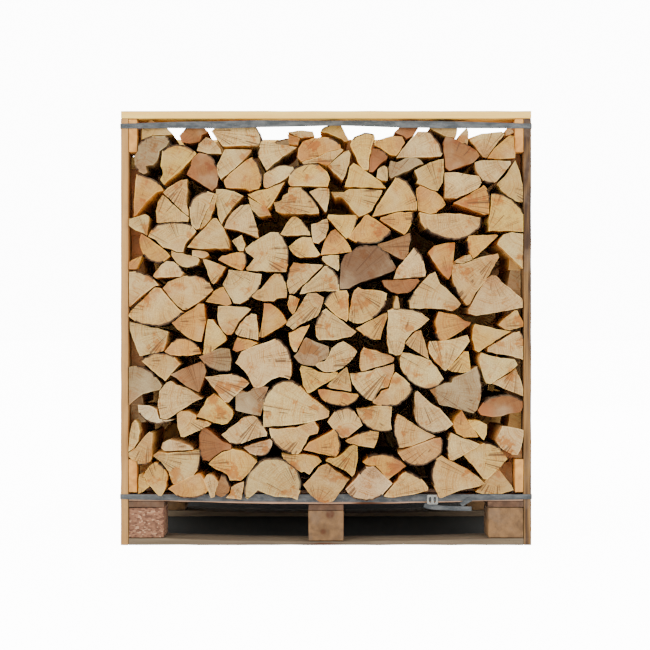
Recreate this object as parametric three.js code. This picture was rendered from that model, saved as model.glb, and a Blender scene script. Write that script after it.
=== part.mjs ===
// A crate of split firewood on a block pallet: posts and slats at the sides, planks over the top,
// two straps round everything. Millimetres, +Z up, origin at the middle of the footprint,
// the stacked log ends facing -Y. Pieces that touch are kept apart by a hair's gap.
import * as THREE from 'three';

// Driving dimensions
const palletWidth = 1000;
const palletDepth = 1200;
const gap = 0.3;
const crateHeight = 1100;
const plankThickness = 20;
const plankWidth = 100;

// Pallet heights, each measured to the top of its layer
const skidTop = 18;
const blockTop = 96;
const stringerTop = 112;
const deckTop = 127;
const blockWidth = 90;
const deckBoardWidth = 115;
const deckBoardCount = 7;

// The load bends the pallet: its boards hang this much lower halfway across than at the sides.
const palletSag = 8;

// Side slats inside the posts
const slatThickness = 22;
const slatWidth = 84;
const slatBottoms = { bottom: 134, top: 995 };

// Straps and buckle
const strapWidth = 12;
const strapThickness = 1;
const bottomStrapHeight = 123.5;
const topStrapHeight = 1061;

// The stack: four rows of logs, one behind another, the end rows a little proud of the pallet
const rowCount = 4;
const rowLength = 292;
const stackDepth = 1224;

const crate = new THREE.Group();

const woods = {
  skid: 0x8f7862,
  block: 0x9a8069,
  chipboard: 0xb08a76,
  stringer: 0x4a3527,
  deck: 0xb99a86,
  post: 0xe6cf9f,
  weatheredPost: 0xc9ab80,
  rail: 0xefd9a8,
  slat: 0xc98d4c,
  log: 0xdebd93,
};

function wood(colour) {
  return new THREE.MeshStandardMaterial({ color: colour, roughness: 0.85, metalness: 0 });
}

function addPiece(name, geometry, material, x, y, z) {
  const piece = new THREE.Mesh(geometry, material);
  piece.name = name;
  piece.position.set(x, y, z);
  crate.add(piece);
}

// A sawn board or block, given by its middle in X and Y and by its lower and upper faces in Z.
function addBoard(name, material, middle, width, depth, lower, upper) {
  const board = new THREE.BoxGeometry(width, depth, upper - lower);
  addPiece(name, board, material, middle[0], middle[1], (lower + upper) / 2);
}

// An outline in X and Z, drawn out along Y from one depth to another.
function addProfile(name, material, outline, front, length) {
  const solid = new THREE.ExtrudeGeometry(outline, { depth: length, bevelEnabled: false, curveSegments: 5 });
  solid.rotateX(Math.PI / 2);
  addPiece(name, solid, material, 0, front + length, 0);
}

// How far a board lying across the pallet hangs down: nothing over the outer blocks, most halfway.
const freeSpan = palletWidth - 2 * blockWidth;
function sagAt(x) {
  const across = x / (freeSpan / 2);
  return -palletSag * Math.max(0, 1 - across * across);
}

// A board across the pallet, bent by the load, given by its middle in Y. A lower face at the
// ground stays flat.
const bendSteps = 8;
function addBentBoard(name, material, middle, depth, lower, upper) {
  const stations = [-palletWidth / 2];
  for (let i = 0; i <= bendSteps; i++) {
    stations.push(freeSpan * (i / bendSteps - 0.5));
  }
  stations.push(palletWidth / 2);
  const under = stations.map((x) => new THREE.Vector2(x, lower > 0 ? lower + sagAt(x) : 0));
  const over = stations.map((x) => new THREE.Vector2(x, upper + sagAt(x)));
  addProfile(name, material, new THREE.Shape([...under, ...over.reverse()]), middle - depth / 2, depth);
}

// Skids: three boards across the width, under the front, the middle and the back.
const skidPlaces = { front: -1, middle: 0, back: 1 };
const skidOffset = (palletDepth - plankWidth) / 2;
for (const [place, side] of Object.entries(skidPlaces)) {
  addBentBoard(`skid_${place}`, wood(woods.skid), side * skidOffset, plankWidth, 0, skidTop);
}

// Blocks: three on each skid, the outer ones flush with the sides. The left front one is chipboard.
const blockDepth = 96;
const blockPlaces = { left: -1, centre: 0, right: 1 };
const blockOffset = (palletWidth - blockWidth) / 2;
function layerAt(column, height) {
  return column === 'centre' ? height - palletSag : height;
}
for (const [place, side] of Object.entries(skidPlaces)) {
  for (const [column, across] of Object.entries(blockPlaces)) {
    const chipboard = place === 'front' && column === 'left';
    const material = wood(chipboard ? woods.chipboard : woods.block);
    const middle = [across * blockOffset, side * skidOffset];
    const lower = layerAt(column, skidTop + gap);
    const upper = layerAt(column, blockTop);
    addBoard(`block_${place}_${column}`, material, middle, blockWidth, blockDepth, lower, upper);
  }
}

// Stringer boards: front to back over each line of blocks.
for (const [column, across] of Object.entries(blockPlaces)) {
  const middle = [across * blockOffset, 0];
  const lower = layerAt(column, blockTop + gap);
  const upper = layerAt(column, stringerTop);
  addBoard(`stringer_${column}`, wood(woods.stringer), middle, blockWidth, palletDepth, lower, upper);
}

// Deck boards: across the width, evenly spaced, carrying the logs.
const deckPitch = (palletDepth - deckBoardWidth) / (deckBoardCount - 1);
for (let i = 0; i < deckBoardCount; i++) {
  const middle = -(palletDepth - deckBoardWidth) / 2 + i * deckPitch;
  addBentBoard(`deck_board_${i + 1}`, wood(woods.deck), middle, deckBoardWidth, stringerTop + gap, deckTop);
}

// Posts: planks nailed upright against the pallet's sides, from the ground to the top planks.
const postOffset = (palletWidth + gap + plankThickness) / 2;
const postHeight = crateHeight - plankThickness;
for (const [place, side] of Object.entries(skidPlaces)) {
  for (const [column, across] of [['left', -1], ['right', 1]]) {
    const material = wood(column === 'left' ? woods.post : woods.weatheredPost);
    const middle = [across * postOffset, side * skidOffset];
    addBoard(`post_${place}_${column}`, material, middle, plankThickness - gap, plankWidth, 0, postHeight);
  }
}

// Top planks: laid flat across each pair of posts.
const crateWidth = 2 * postOffset + plankThickness - gap;
for (const [place, side] of Object.entries(skidPlaces)) {
  const middle = [0, side * skidOffset];
  addBoard(`top_plank_${place}`, wood(woods.rail), middle, crateWidth, plankWidth, postHeight + gap, crateHeight);
}

// Side slats: front to back inside the posts, one low and one high on each side.
const slatOffset = (palletWidth - gap - slatThickness) / 2;
for (const [level, bottom] of Object.entries(slatBottoms)) {
  for (const [column, across] of [['left', -1], ['right', 1]]) {
    const middle = [across * slatOffset, 0];
    const name = `slat_${level}_${column}`;
    addBoard(name, wood(woods.slat), middle, slatThickness - gap, palletDepth, bottom, bottom + slatWidth);
  }
}

// Straps: closed bands round the outside of the posts. The front run of the upper one bows up
// between the posts, and that of the lower one hangs down.
const strapMaterial = new THREE.MeshStandardMaterial({ color: 0x7d868b, roughness: 0.6, metalness: 0 });
const strapRunSteps = 16;

function bandOutline(halfWidth, halfDepth, corner) {
  const outline = new THREE.Shape();
  outline.moveTo(-halfWidth + corner, -halfDepth);
  for (let i = 1; i <= strapRunSteps; i++) {
    outline.lineTo((halfWidth - corner) * (2 * i / strapRunSteps - 1), -halfDepth);
  }
  outline.quadraticCurveTo(halfWidth, -halfDepth, halfWidth, -halfDepth + corner);
  outline.lineTo(halfWidth, halfDepth - corner);
  outline.quadraticCurveTo(halfWidth, halfDepth, halfWidth - corner, halfDepth);
  outline.lineTo(-halfWidth + corner, halfDepth);
  outline.quadraticCurveTo(-halfWidth, halfDepth, -halfWidth, halfDepth - corner);
  outline.lineTo(-halfWidth, -halfDepth + corner);
  outline.quadraticCurveTo(-halfWidth, -halfDepth, -halfWidth + corner, -halfDepth);
  return outline;
}

function addStrap(name, height, bow) {
  const halfWidth = crateWidth / 2 + gap;
  const halfDepth = palletDepth / 2 + gap;
  const band = bandOutline(halfWidth + strapThickness, halfDepth + strapThickness, 1.2);
  band.holes.push(bandOutline(halfWidth, halfDepth, 0.5));
  const strap = new THREE.ExtrudeGeometry(band, { depth: strapWidth, bevelEnabled: false, curveSegments: 3 });
  const points = strap.attributes.position;
  for (let i = 0; i < points.count; i++) {
    const onFrontRun = points.getY(i) < -halfDepth + 0.001;
    const across = points.getX(i) / halfWidth;
    const lift = onFrontRun ? bow * Math.max(0, 1 - across * across) : 0;
    points.setZ(i, points.getZ(i) - strapWidth / 2 + lift);
  }
  strap.computeVertexNormals();
  addPiece(name, strap, strapMaterial, 0, 0, height);
}

addStrap('strap_top', topStrapHeight, 9);
addStrap('strap_bottom', bottomStrapHeight, -palletSag);

// Buckle: a flat steel frame with a bar across it, on the front run of the lower strap.
const strapFace = -(palletDepth / 2 + gap + strapThickness);
const buckle = { x: 269, z: 116, width: 28, height: 25, corner: 4, thickness: 4 };

function buckleOutline() {
  const { x, z, corner } = buckle;
  const halfWidth = buckle.width / 2 - corner;
  const halfHeight = buckle.height / 2 - corner;
  const outline = new THREE.Shape();
  outline.absarc(x + halfWidth, z - halfHeight, corner, -Math.PI / 2, 0);
  outline.absarc(x + halfWidth, z + halfHeight, corner, 0, Math.PI / 2);
  outline.absarc(x - halfWidth, z + halfHeight, corner, Math.PI / 2, Math.PI);
  outline.absarc(x - halfWidth, z - halfHeight, corner, Math.PI, 1.5 * Math.PI);
  return outline;
}

const buckleFrame = buckleOutline();
for (const side of [-1, 1]) {
  const slot = new THREE.Path();
  slot.absellipse(buckle.x + 6 * side, buckle.z, 3.5, 8, 0, 2 * Math.PI, true);
  buckleFrame.holes.push(slot);
}
const buckleShape = new THREE.ExtrudeGeometry(buckleFrame, {
  depth: buckle.thickness,
  bevelEnabled: false,
  curveSegments: 4,
});
buckleShape.rotateX(Math.PI / 2);
const steel = new THREE.MeshStandardMaterial({ color: 0xb9b2a4, roughness: 0.4, metalness: 0.9 });
addPiece('buckle', buckleShape, steel, 0, strapFace - gap, 0);

// Strap tails: flat ends of the band. The long one leaves the buckle downwards and hangs out
// level past the right of it, the short one sticks up above its end.
const tailWidth = 11;
const tailSteps = 12;

function addTail(name, stops) {
  const route = new THREE.CatmullRomCurve3(stops.map((stop) => new THREE.Vector3(...stop)));
  const upper = [];
  const lower = [];
  for (let i = 0; i <= tailSteps; i++) {
    const middle = route.getPoint(i / tailSteps);
    const along = route.getTangent(i / tailSteps);
    const length = Math.hypot(along.x, along.z);
    const across = new THREE.Vector2(-along.z / length, along.x / length).multiplyScalar(tailWidth / 2);
    upper.push(new THREE.Vector2(middle.x + across.x, middle.z + across.y));
    lower.push(new THREE.Vector2(middle.x - across.x, middle.z - across.y));
  }
  const band = new THREE.Shape([...lower, ...upper.reverse()]);
  const tail = new THREE.ExtrudeGeometry(band, { depth: strapThickness, bevelEnabled: false });
  tail.rotateX(Math.PI / 2);
  const points = tail.attributes.position;
  const first = stops[0];
  const last = stops[stops.length - 1];
  for (let i = 0; i < points.count; i++) {
    const share = (points.getX(i) - first[0]) / (last[0] - first[0]);
    points.setY(i, points.getY(i) + first[1] + share * (last[1] - first[1]));
  }
  tail.computeVertexNormals();
  addPiece(name, tail, strapMaterial, 0, 0, 0);
}

addTail('tail_long', [
  [248, -606, 103],
  [262, -607, 98.5],
  [285, -608, 96.5],
  [325, -609, 95],
  [367, -610, 94],
]);
addTail('tail_short', [
  [341, -604, 103],
  [352, -604, 110],
  [364, -604, 117],
  [374, -604, 121],
]);

// The stack. Each row is one plain body that reaches the tips of its logs, notched at the sides
// where the slats run.
const sideRoom = palletWidth / 2 - gap;
const slatRoom = sideRoom - slatThickness;
const rowPitch = (stackDepth - rowLength) / (rowCount - 1);
const logBedGap = 3;

function rowOutline(topLine) {
  const outline = new THREE.Shape();
  const bed = deckTop + logBedGap;
  const lowSlat = slatBottoms.bottom + slatWidth + gap;
  const start = topLine[0];
  const end = topLine[topLine.length - 1];
  outline.moveTo(-slatRoom, bed);
  outline.lineTo(slatRoom, bed);
  outline.lineTo(slatRoom, lowSlat);
  outline.lineTo(sideRoom, lowSlat);
  outline.lineTo(sideRoom, end);
  for (let i = topLine.length - 2; i > 0; i--) {
    outline.lineTo(topLine[i][0], topLine[i][1]);
  }
  outline.lineTo(-sideRoom, start);
  outline.lineTo(-sideRoom, lowSlat);
  outline.lineTo(-slatRoom, lowSlat);
  outline.closePath();
  return outline;
}

// Front row: the body ends under the loose logs of the top course.
const frontTopLine = [
  930,
  [-470, 934], [-450, 934], [-434, 956], [-421, 964], [-418, 990], [-396, 1006], [-370, 1012],
  [-350, 1006], [-329, 992], [-321, 1014], [-303, 1031], [-286, 1022], [-268, 1003], [-192, 1001],
  [-174, 980], [-172, 972], [-152, 945], [-126, 963], [-76, 970], [-58, 967], [-20, 980], [0, 990],
  [40, 999], [57, 999], [68, 984], [84, 958], [95, 946], [106, 944], [109, 950], [113, 985],
  [116, 1001], [136, 1000], [149, 990], [156, 982], [176, 976], [293, 979], [298, 1000],
  [300, 1030], [312, 1031], [329, 1026],
  [336, 1018], [346, 1014], [361, 1010], [383, 990], [396, 978], [408, 974], [478, 974],
  930,
];
const rowFront = -stackDepth / 2;
addProfile('log_row_front', wood(woods.log), rowOutline(frontTopLine), rowFront, rowLength);

// The rows behind: low crowns of logs up to the top planks' height, every other one turned round.
const shoulder = 990;
const crown = [
  [-slatRoom, 1006], [-436, 1030], [-330, 1043], [-170, 1050], [20, 1052], [210, 1048], [350, 1038],
  [440, 1024], [slatRoom, 1004],
];

for (let row = 1; row < rowCount; row++) {
  const name = row + 1 < rowCount ? `log_row_middle_${row}` : 'log_row_back';
  const turned = row % 2 === 0 ? crown.map(([x, z]) => [-x, z]).reverse() : crown;
  const line = [shoulder, [-slatRoom, shoulder], ...turned, [slatRoom, shoulder], shoulder];
  addProfile(name, wood(woods.log), rowOutline(line), rowFront + row * rowPitch, rowLength);
}

// Loose logs of the front row's top course: corners in X and Z, and after a corner the height
// of the bark's bulge where the side that follows is round.
const topLogLength = 280;
const topLogFront = -palletDepth / 2;
const topLogs = [
  [[-467, 1040], [-404, 1040], [-389, 1042], [-403, 1058], [-424, 1068], [-444, 1076], [-465, 1062]],
  [[-476, 950], [-463, 938], [-453, 942], [-456, 958], [-438, 960], [-425, 974], [-420, 995], [-402, 1012],
    [-397, 1024], [-407, 1036, 2], [-440, 1036, 2], [-476, 1011]],
  [[-366, 1021], [-345, 1018], [-320, 1023], [-315, 1040], [-298, 1046], [-312, 1061, 2], [-345, 1062, 3],
    [-359, 1052], [-372, 1038]],
  [[-262, 1010], [-170, 1012, 2], [-165, 1026, 3], [-180, 1062], [-225, 1066, 3], [-277, 1062],
    [-288, 1048], [-274, 1026]],
  [[-151, 949], [-110, 982], [-86, 999], [-75, 1007], [-130, 1017], [-145, 1023, 2], [-162, 1022],
    [-167, 1008], [-171, 984]],
  [[-96, 1046], [-92, 1018], [-74, 1012], [-66, 1031], [-30, 1035], [-33, 1048], [-60, 1050]],
  [[-62, 971], [-20, 984], [0, 994], [37, 1004], [34, 1016, 3], [8, 1031, 3], [-30, 1030], [-58, 1022],
    [-68, 1004, 2], [-73, 985]],
  [[-12, 1047], [5, 1045], [34, 1032], [47, 1023], [57, 1025], [50, 1040], [40, 1062], [30, 1069, 2],
    [4, 1062, 3]],
  [[96, 950], [107, 950], [111, 985], [113, 1003], [117, 1020], [123, 1032], [121, 1039, 3], [88, 1039, 2],
    [66, 1026], [61, 1010], [72, 990]],
  [[160, 988], [176, 985], [188, 1000], [199, 1018], [192, 1033], [165, 1035], [125, 1024], [120, 1012],
    [138, 1004]],
  [[173, 1046], [196, 1037], [204, 1030], [222, 1038], [233, 1054], [237, 1071], [216, 1074, 2], [189, 1067]],
  [[178, 980], [292, 983], [295, 992, 4], [274, 1035, 4], [256, 1048], [232, 1048], [206, 1018]],
  [[263, 1056], [298, 1038], [328, 1031], [333, 1054], [326, 1067, 3], [298, 1074, 2], [273, 1071]],
  [[334, 1025], [345, 1019], [359, 1015], [360, 1048], [357, 1058], [341, 1042]],
  [[363, 1030], [384, 1001], [399, 984], [408, 982], [421, 1002], [437, 1024], [452, 1041], [446, 1048],
    [395, 1043]],
  [[409, 979], [440, 976], [477, 979], [477, 1034], [464, 1036], [424, 1002]],
];

function logOutline(corners) {
  const outline = new THREE.Shape();
  outline.moveTo(corners[0][0], corners[0][1]);
  for (let i = 0; i < corners.length; i++) {
    const [x, z, bulge] = corners[i];
    const [nextX, nextZ] = corners[(i + 1) % corners.length];
    if (bulge) {
      const length = Math.hypot(nextX - x, nextZ - z);
      const outX = (nextZ - z) / length;
      const outZ = (x - nextX) / length;
      const bendX = (x + nextX) / 2 + 2 * bulge * outX;
      const bendZ = (z + nextZ) / 2 + 2 * bulge * outZ;
      outline.quadraticCurveTo(bendX, bendZ, nextX, nextZ);
    } else {
      outline.lineTo(nextX, nextZ);
    }
  }
  return outline;
}

topLogs.forEach((corners, i) => {
  addProfile(`top_log_${i + 1}`, wood(woods.log), logOutline(corners), topLogFront, topLogLength);
});

export default crate;
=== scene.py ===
# A crate of split firewood: four rows of logs on a block pallet, held between plank posts and
# slats with planks across the top, and two plastic straps round everything. Metres, +Z up,
# the stacked log ends facing -Y.
import math
import random

import bmesh
import bpy
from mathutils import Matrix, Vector, noise


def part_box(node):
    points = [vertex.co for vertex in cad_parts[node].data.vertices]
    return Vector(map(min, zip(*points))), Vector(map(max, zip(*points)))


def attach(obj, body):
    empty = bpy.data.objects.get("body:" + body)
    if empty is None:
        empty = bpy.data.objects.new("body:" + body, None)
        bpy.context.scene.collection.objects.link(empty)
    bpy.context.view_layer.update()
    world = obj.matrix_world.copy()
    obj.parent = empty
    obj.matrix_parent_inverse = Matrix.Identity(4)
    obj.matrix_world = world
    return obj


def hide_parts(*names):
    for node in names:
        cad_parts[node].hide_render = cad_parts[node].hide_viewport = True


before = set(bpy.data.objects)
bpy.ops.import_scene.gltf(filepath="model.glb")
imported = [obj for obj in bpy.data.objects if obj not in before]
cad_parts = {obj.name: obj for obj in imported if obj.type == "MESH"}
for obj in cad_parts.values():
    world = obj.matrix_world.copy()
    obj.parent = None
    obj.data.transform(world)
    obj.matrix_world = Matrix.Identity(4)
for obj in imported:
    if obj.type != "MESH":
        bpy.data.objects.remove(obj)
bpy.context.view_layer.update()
scene = bpy.context.scene


# Studio: a wide pale floor under an even white sky, a large soft lamp high in front to the left,
# a weaker one to the right and one behind. The camera stands in front, at half the crate's height.
def srgb(red, green, blue):
    shades = [shade / 255 for shade in (red, green, blue)]
    return [s / 12.92 if s <= 0.04045 else ((s + 0.055) / 1.055) ** 2.4 for s in shades] + [1.0]


def put(tree, kind, sockets=None, **settings):
    node = tree.nodes.new("ShaderNode" + kind)
    for name, value in settings.items():
        setattr(node, name, value)
    for name, value in (sockets or {}).items():
        if isinstance(value, bpy.types.NodeSocket):
            tree.links.new(value, node.inputs[name])
        else:
            node.inputs[name].default_value = value
    return node


def new_finish(name):
    finish = bpy.data.materials.new(name)
    finish.use_nodes = True
    tree = finish.node_tree
    surface = tree.nodes["Principled BSDF"]
    spot = put(tree, "TexCoord").outputs["Object"]
    return finish, tree, surface, spot


def noise_at(tree, spot, stretch, detail=3.0, roughness=0.55):
    spread = put(tree, "VectorMath", {0: spot, 1: stretch}, operation="MULTIPLY").outputs[0]
    made = put(tree, "TexNoise", {"Vector": spread, "Scale": 1.0, "Detail": detail, "Roughness": roughness})
    return made.outputs["Fac"]


def step_up(tree, value, low, high):
    sockets = {"Value": value, "From Min": low, "From Max": high}
    return put(tree, "MapRange", sockets, interpolation_type="SMOOTHSTEP").outputs["Result"]


def sum_of(tree, first, second, how="ADD"):
    return put(tree, "Math", {0: first, 1: second}, operation=how).outputs[0]


def mixed(tree, share, under, over, how="MIX"):
    return put(tree, "Mix", {0: share, 6: under, 7: over}, data_type="RGBA", blend_type=how).outputs[2]


sky = bpy.data.worlds.new("sky")
sky.use_nodes = True
seen_direct = put(sky.node_tree, "LightPath").outputs["Is Camera Ray"]
sky_strength = sum_of(sky.node_tree, sum_of(sky.node_tree, seen_direct, 11.0, "MULTIPLY"), 1.5)
sky.node_tree.nodes["Background"].inputs["Color"].default_value = (1.0, 1.0, 1.0, 1.0)
sky.node_tree.links.new(sky_strength, sky.node_tree.nodes["Background"].inputs["Strength"])
scene.world = sky

floor_mesh = bpy.data.meshes.new("floor")
floor_shape = bmesh.new()
bmesh.ops.create_circle(floor_shape, cap_ends=True, segments=64, radius=60.0)
bmesh.ops.translate(floor_shape, vec=(0, 0, -0.0006), verts=floor_shape.verts)
floor_shape.to_mesh(floor_mesh)
floor = bpy.data.objects.new("floor", floor_mesh)
scene.collection.objects.link(floor)
floor_finish, floor_tree, floor_surface, _ = new_finish("pale_floor")
floor_surface.inputs["Base Color"].default_value = srgb(247, 247, 247)
floor_surface.inputs["Roughness"].default_value = 0.9
floor_surface.inputs["Emission Color"].default_value = (1.0, 1.0, 1.0, 1.0)
floor_seen = put(floor_tree, "LightPath").outputs["Is Camera Ray"]
floor_glow = sum_of(floor_tree, floor_seen, 12.0, "MULTIPLY")
floor_tree.links.new(floor_glow, floor_surface.inputs["Emission Strength"])
floor_mesh.materials.append(floor_finish)

# Painted shade under the pallet: a dark sheet on the floor between the skids, standing for the shadow there.
shade_mesh = bpy.data.meshes.new("painted_shade_patch")
shade_shape = bmesh.new()
bmesh.ops.create_grid(shade_shape, x_segments=1, y_segments=1, size=0.5)
bmesh.ops.scale(shade_shape, vec=(0.998, 1.18, 1.0), verts=shade_shape.verts)
bmesh.ops.translate(shade_shape, vec=(0, 0, -0.0003), verts=shade_shape.verts)
shade_shape.to_mesh(shade_mesh)
painted_shade_patch = bpy.data.objects.new("painted_shade_patch", shade_mesh)
scene.collection.objects.link(painted_shade_patch)
patch_finish, _, patch_surface, _ = new_finish("painted_shade_ground")
patch_surface.inputs["Base Color"].default_value = srgb(34, 36, 30)
patch_surface.inputs["Roughness"].default_value = 0.95
shade_mesh.materials.append(patch_finish)

for lamp_name, place, size, power in (
    ("left_lamp", (-2.6, -4.6, 3.0), 2.6, 150.0),
    ("right_lamp", (3.0, -4.2, 2.0), 2.4, 85.0),
    ("rear_lamp", (1.5, 4.6, 3.2), 3.0, 110.0),
):
    lamp = bpy.data.objects.new(lamp_name, bpy.data.lights.new(lamp_name, "AREA"))
    lamp.data.size = size
    lamp.data.energy = power
    lamp.location = place
    lamp.rotation_mode = "QUATERNION"
    lamp.rotation_quaternion = (Vector((0, 0, 0.5)) - Vector(place)).to_track_quat("-Z", "Y")
    scene.collection.objects.link(lamp)

camera = bpy.data.objects.new("camera", bpy.data.cameras.new("camera"))
camera.data.lens = 78.8
camera.location = (0.0, -4.2, 0.55)
camera.rotation_euler = (math.pi / 2 + 0.0021, 0.0, 0.0007)
scene.collection.objects.link(camera)
scene.camera = camera


# Skids: three rough sawn boards flat on the ground across the width, greyed by the yard. The
# load bends every board of the pallet that lies across, so its middle hangs lower.
def new_group(name, takes, gives):
    group = bpy.data.node_groups.new(name, "ShaderNodeTree")
    for label, kind in takes:
        group.interface.new_socket(label, in_out="INPUT", socket_type="NodeSocket" + kind)
    for label, kind in gives:
        group.interface.new_socket(label, in_out="OUTPUT", socket_type="NodeSocket" + kind)
    takes_in = group.nodes.new("NodeGroupInput").outputs
    gives_out = group.nodes.new("NodeGroupOutput").inputs
    return group, takes_in, gives_out


def build_grain():
    """Long grain of a board that runs along X: streaks, year bands, fine fibres and knots."""
    group, given, result = new_group(
        "long_grain",
        [
            ("Along", "Vector"),
            ("Pale", "Color"),
            ("Dark", "Color"),
            ("Contrast", "Float"),
            ("Knots", "Float"),
        ],
        [("Color", "Color"), ("Height", "Float")],
    )
    along = given["Along"]
    streaks = noise_at(group, along, (1.1, 42.0, 42.0), 4.0, 0.6)
    broad = noise_at(group, along, (1.6, 9.0, 9.0), 2.0, 0.5)
    fibres = noise_at(group, along, (11.0, 520.0, 520.0), 2.0, 0.6)
    warped = sum_of(group, sum_of(group, broad, 60.0, "MULTIPLY"), streaks)
    bands = sum_of(group, put(group, "Math", {0: warped}, operation="SINE").outputs[0], 0.5, "MULTIPLY")
    knot_spot = put(group, "VectorMath", {0: along, 1: (2.6, 11.0, 11.0)}, operation="MULTIPLY").outputs[0]
    knot_gap = put(group, "TexVoronoi", {"Vector": knot_spot, "Scale": 1.0}).outputs["Distance"]
    knot_core = sum_of(group, step_up(group, knot_gap, 0.15, 0.08), given["Knots"], "MULTIPLY")
    knot_ring = sum_of(group, step_up(group, knot_gap, 0.30, 0.12), given["Knots"], "MULTIPLY")
    lean = sum_of(group, sum_of(group, step_up(group, streaks, 0.35, 0.68), 0.55, "MULTIPLY"),
                  sum_of(group, bands, 0.22, "MULTIPLY"))
    lean = sum_of(group, lean, sum_of(group, sum_of(group, fibres, -0.5), 0.7, "MULTIPLY"))
    lean = sum_of(group, sum_of(group, lean, given["Contrast"], "MULTIPLY"), 0.12)
    colour = mixed(group, lean, given["Pale"], given["Dark"])
    colour = mixed(group, sum_of(group, knot_ring, 0.45, "MULTIPLY"), colour, given["Dark"])
    colour = mixed(group, knot_core, colour, srgb(84, 50, 28))
    group.links.new(colour, result["Color"])
    height = sum_of(group, sum_of(group, fibres, 0.6, "MULTIPLY"), sum_of(group, streaks, 0.6, "MULTIPLY"))
    group.links.new(sum_of(group, height, knot_core, "SUBTRACT"), result["Height"])
    return group


def build_grime():
    """Yard dirt: soft grey-brown patches and small dark specks over a colour."""
    group, given, result = new_group(
        "yard_dirt",
        [("Place", "Vector"), ("Color", "Color"), ("Amount", "Float"), ("Specks", "Float")],
        [("Color", "Color")],
    )
    patches = step_up(group, noise_at(group, given["Place"], (17.0, 17.0, 17.0), 5.0, 0.65), 0.46, 0.72)
    patch_share = sum_of(group, patches, given["Amount"], "MULTIPLY")
    colour = mixed(group, patch_share, given["Color"], srgb(112, 94, 78))
    dots = step_up(group, noise_at(group, given["Place"], (260.0, 260.0, 260.0), 2.0, 0.5), 0.66, 0.74)
    colour = mixed(group, sum_of(group, dots, given["Specks"], "MULTIPLY"), colour, srgb(58, 40, 28))
    group.links.new(colour, result["Color"])
    return group


grain_group = build_grain()
grime_group = build_grime()


def dirtied(tree, spot, colour, amount, specks):
    grime = put(tree, "Group", node_tree=grime_group)
    tree.links.new(spot, grime.inputs["Place"])
    tree.links.new(colour, grime.inputs["Color"])
    grime.inputs["Amount"].default_value = amount
    grime.inputs["Specks"].default_value = specks
    return grime.outputs["Color"]


def cover(tree, surface, colour, roughness, specular, height, strength, distance):
    """Colour, sheen and relief of a finish, straight onto its shader."""
    tree.links.new(colour, surface.inputs["Base Color"])
    surface.inputs["Roughness"].default_value = roughness
    surface.inputs["Specular IOR Level"].default_value = specular
    bump = put(tree, "Bump", {"Strength": strength, "Distance": distance, "Height": height})
    tree.links.new(bump.outputs[0], surface.inputs["Normal"])


def board_finish(name, turn, pale, dark, contrast=0.9, knots=1.0, dirt=0.3, specks=0.3, relief=0.0012):
    """Sawn board. turn brings the board's length to X."""
    finish, tree, surface, spot = new_finish(name)
    along = put(tree, "Mapping", {"Vector": spot, "Rotation": turn}, vector_type="POINT").outputs[0]
    grain = put(tree, "Group", node_tree=grain_group)
    tree.links.new(along, grain.inputs["Along"])
    grain.inputs["Pale"].default_value = pale
    grain.inputs["Dark"].default_value = dark
    grain.inputs["Contrast"].default_value = contrast
    grain.inputs["Knots"].default_value = knots
    colour = dirtied(tree, spot, grain.outputs["Color"], dirt, specks)
    cover(tree, surface, colour, 0.82, 0.25, grain.outputs["Height"], 0.6, relief)
    return finish


along_x = (0.0, 0.0, 0.0)
along_y = (0.0, 0.0, -math.pi / 2)
along_z = (0.0, math.pi / 2, 0.0)
free_span = 0.41
pallet_sag = 0.008


def sag_at(x):
    return -pallet_sag * max(0.0, 1 - (x / free_span) ** 2)


board_cut = 0.045


def pour(shape, group):
    """Moves a finished shape into the group that makes one piece."""
    passing = bpy.data.meshes.new("passing")
    shape.to_mesh(passing)
    shape.free()
    group.from_mesh(passing)
    bpy.data.meshes.remove(passing)


def add_board(group, low, high, axis, rough=0.0007, edge=0.0016, sag=None, grain_slot=0):
    """A sawn board between two corners: worn edges, cut across in short lengths and roughened."""
    board = bmesh.new()
    bmesh.ops.create_cube(board, size=1.0)
    bmesh.ops.scale(board, vec=high - low, verts=board.verts)
    bmesh.ops.translate(board, vec=(low + high) / 2, verts=board.verts)
    bmesh.ops.bevel(
        board, geom=board.edges[:], offset=edge, segments=2, profile=0.5, affect="EDGES", material=-1
    )
    length = high[axis] - low[axis]
    cut_count = max(2, round(length / board_cut))
    across = Vector((0, 0, 0))
    across[axis] = 1.0
    for i in range(1, cut_count):
        place = low.copy()
        place[axis] = low[axis] + length * i / cut_count
        whole = board.verts[:] + board.edges[:] + board.faces[:]
        bmesh.ops.bisect_plane(board, geom=whole, dist=1e-6, plane_co=place, plane_no=across)
    board.normal_update()
    seed_shift = Vector((low.x * 7, low.y * 5, low.z * 9))
    moves = []
    for vert in board.verts:
        swell = noise.noise(vert.co * 38 + seed_shift) + 0.5 * noise.noise(vert.co * 140 + seed_shift)
        moves.append(vert.normal * min(0.0, swell - 0.35) * rough)
    for vert, move in zip(board.verts, moves):
        vert.co += move
        if sag and (sag == "whole" or vert.co.z > (low.z + high.z) / 2):
            vert.co.z += sag_at(vert.co.x)
    for face in board.faces:
        face.smooth = True
        face.material_index = grain_slot
    for line in board.edges:
        line.smooth = line.calc_face_angle(0.0) < 0.7
    pour(board, group)


def add_piece(name, shape, finishes, slot_name, *nodes):
    mesh = bpy.data.meshes.new(name)
    shape.to_mesh(mesh)
    shape.free()
    for finish in finishes:
        mesh.materials.append(finish)
    piece = bpy.data.objects.new(name, mesh)
    scene.collection.objects.link(piece)
    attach(piece, "root")
    if nodes:
        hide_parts(*nodes)
    return piece


def boards_piece(name, nodes, axis, finishes, slot_name, sag=None, rough=0.0007):
    shape = bmesh.new()
    for node in nodes:
        low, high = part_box(node)
        if sag == "whole":
            low.z += pallet_sag
        add_board(shape, low, high, axis, rough=rough, sag=sag)
    return add_piece(name, shape, finishes, slot_name, *nodes)


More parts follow.
